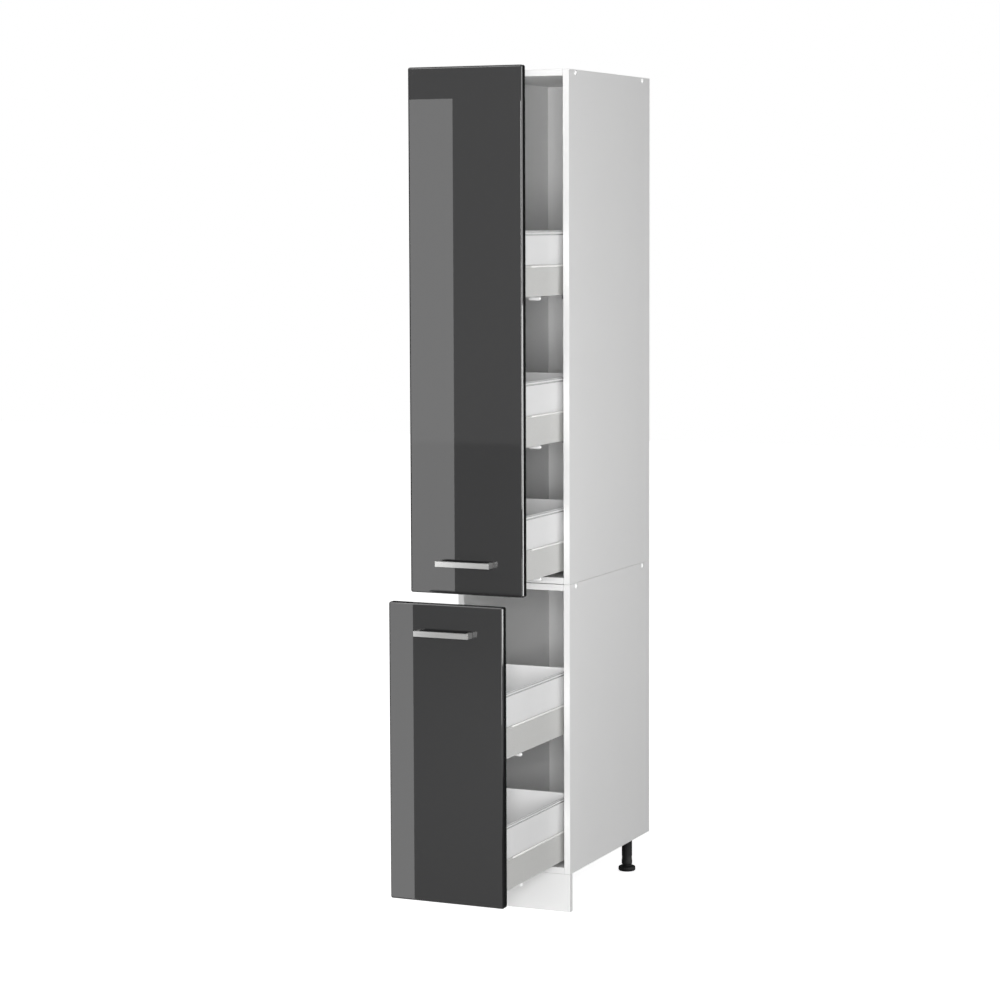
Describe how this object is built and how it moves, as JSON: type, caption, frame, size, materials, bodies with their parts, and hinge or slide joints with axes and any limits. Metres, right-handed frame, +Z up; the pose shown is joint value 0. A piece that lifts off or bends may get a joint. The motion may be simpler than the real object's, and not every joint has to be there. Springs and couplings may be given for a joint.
{
  "type": "pull out larder unit",
  "caption": "Tall narrow kitchen larder cabinet of two stacked boxes on adjustable legs, with upper and lower pull-outs of plastic trays on hidden rails behind gloss fronts with bow handles.",
  "frame": {"origin": "on the floor, under the centre of the whole object's box with both pull-outs standing as far open as in the picture", "axes": "+X to the right seen from the front, +Y from the fronts back into the cabinet towards the wall, +Z up"},
  "size_m": [0.3, 0.9708, 2.066],
  "materials": {
    "white_board": "white melamine-faced chipboard, satin",
    "white_back": "white-faced hardboard, satin",
    "grey_gloss_front": "dark grey high-gloss lacquered board",
    "brushed_handle": "brushed along its length",
    "silver_frame": "silver-grey powder coat",
    "white_plastic": "moulded white plastic, fine satin",
    "zinc_rail": "rolled, zinc plated",
    "silver_bar": "silver-grey bar, satin",
    "black_plastic": "moulded black plastic, matt"
  },
  "bodies": {
    "carcass": {"lower_side_left": "white_board", "lower_side_right": "white_board", "lower_base_board": "white_board", "lower_top_board": "white_board", "lower_back_panel": "white_back", "upper_side_left": "white_board", "upper_side_right": "white_board", "upper_base_board": "white_board", "upper_top_board": "white_board", "upper_back_panel": "white_back", "plinth_board": "white_board", "plinth_clip_front_left": "black_plastic", "plinth_clip_front_right": "black_plastic", "leg_front_left": "black_plastic", "leg_front_right": "black_plastic", "leg_rear_left": "black_plastic", "leg_rear_right": "black_plastic", "tray_1_left_cabinet_rail": "zinc_rail", "tray_1_right_cabinet_rail": "zinc_rail", "tray_2_left_cabinet_rail": "zinc_rail", "tray_2_right_cabinet_rail": "zinc_rail", "tray_3_left_cabinet_rail": "zinc_rail", "tray_3_right_cabinet_rail": "zinc_rail", "tray_4_left_cabinet_rail": "zinc_rail", "tray_4_right_cabinet_rail": "zinc_rail", "tray_5_left_cabinet_rail": "zinc_rail", "tray_5_right_cabinet_rail": "zinc_rail"},
    "upper_pull_out": {"upper_front": "grey_gloss_front", "upper_handle": "brushed_handle", "upper_front_frame": "silver_bar", "tray_1_frame": "silver_frame", "tray_1_bin": "white_plastic", "tray_2_frame": "silver_frame", "tray_2_bin": "white_plastic", "tray_3_frame": "silver_frame", "tray_3_bin": "white_plastic"},
    "lower_pull_out": {"lower_front": "grey_gloss_front", "lower_handle": "brushed_handle", "lower_front_frame": "silver_bar", "tray_4_frame": "silver_frame", "tray_4_bin": "white_plastic", "tray_5_frame": "silver_frame", "tray_5_bin": "white_plastic"},
    "upper_middle_rails": {"tray_1_left_middle_rail": "zinc_rail", "tray_1_right_middle_rail": "zinc_rail", "tray_2_left_middle_rail": "zinc_rail", "tray_2_right_middle_rail": "zinc_rail", "tray_3_left_middle_rail": "zinc_rail", "tray_3_right_middle_rail": "zinc_rail"},
    "lower_middle_rails": {"tray_4_left_middle_rail": "zinc_rail", "tray_4_right_middle_rail": "zinc_rail", "tray_5_left_middle_rail": "zinc_rail", "tray_5_right_middle_rail": "zinc_rail"},
    "front_left_foot": {"foot_front_left": "black_plastic"},
    "front_right_foot": {"foot_front_right": "black_plastic"},
    "rear_left_foot": {"foot_rear_left": "black_plastic"},
    "rear_right_foot": {"foot_rear_right": "black_plastic"}
  },
  "joints": [
    {"name": "upper_pull_out_slide", "type": "slide", "parent": "carcass", "child": "upper_pull_out", "axis": [0, -1, 0], "range_m": [-0.256, 0.194]},
    {"name": "lower_pull_out_slide", "type": "slide", "parent": "carcass", "child": "lower_pull_out", "axis": [0, -1, 0], "range_m": [-0.3765, 0.0735]},
    {"name": "upper_middle_rail_slide", "type": "slide", "parent": "carcass", "child": "upper_middle_rails", "axis": [0, -1, 0], "range_m": [-0.128, 0.097]},
    {"name": "lower_middle_rail_slide", "type": "slide", "parent": "carcass", "child": "lower_middle_rails", "axis": [0, -1, 0], "range_m": [-0.18825, 0.03675]},
    {"name": "front_left_foot_screw", "type": "slide", "parent": "carcass", "child": "front_left_foot", "axis": [0, 0, -1], "range_m": [-0.0035, 0.02]},
    {"name": "front_right_foot_screw", "type": "slide", "parent": "carcass", "child": "front_right_foot", "axis": [0, 0, -1], "range_m": [-0.0035, 0.02]},
    {"name": "rear_left_foot_screw", "type": "slide", "parent": "carcass", "child": "rear_left_foot", "axis": [0, 0, -1], "range_m": [-0.0035, 0.02]},
    {"name": "rear_right_foot_screw", "type": "slide", "parent": "carcass", "child": "rear_right_foot", "axis": [0, 0, -1], "range_m": [-0.0035, 0.02]}
  ],
  "couplings": [
    {"joint": "upper_middle_rail_slide", "follows": "upper_pull_out_slide", "ratio": 0.5},
    {"joint": "lower_middle_rail_slide", "follows": "lower_pull_out_slide", "ratio": 0.5}
  ]
}
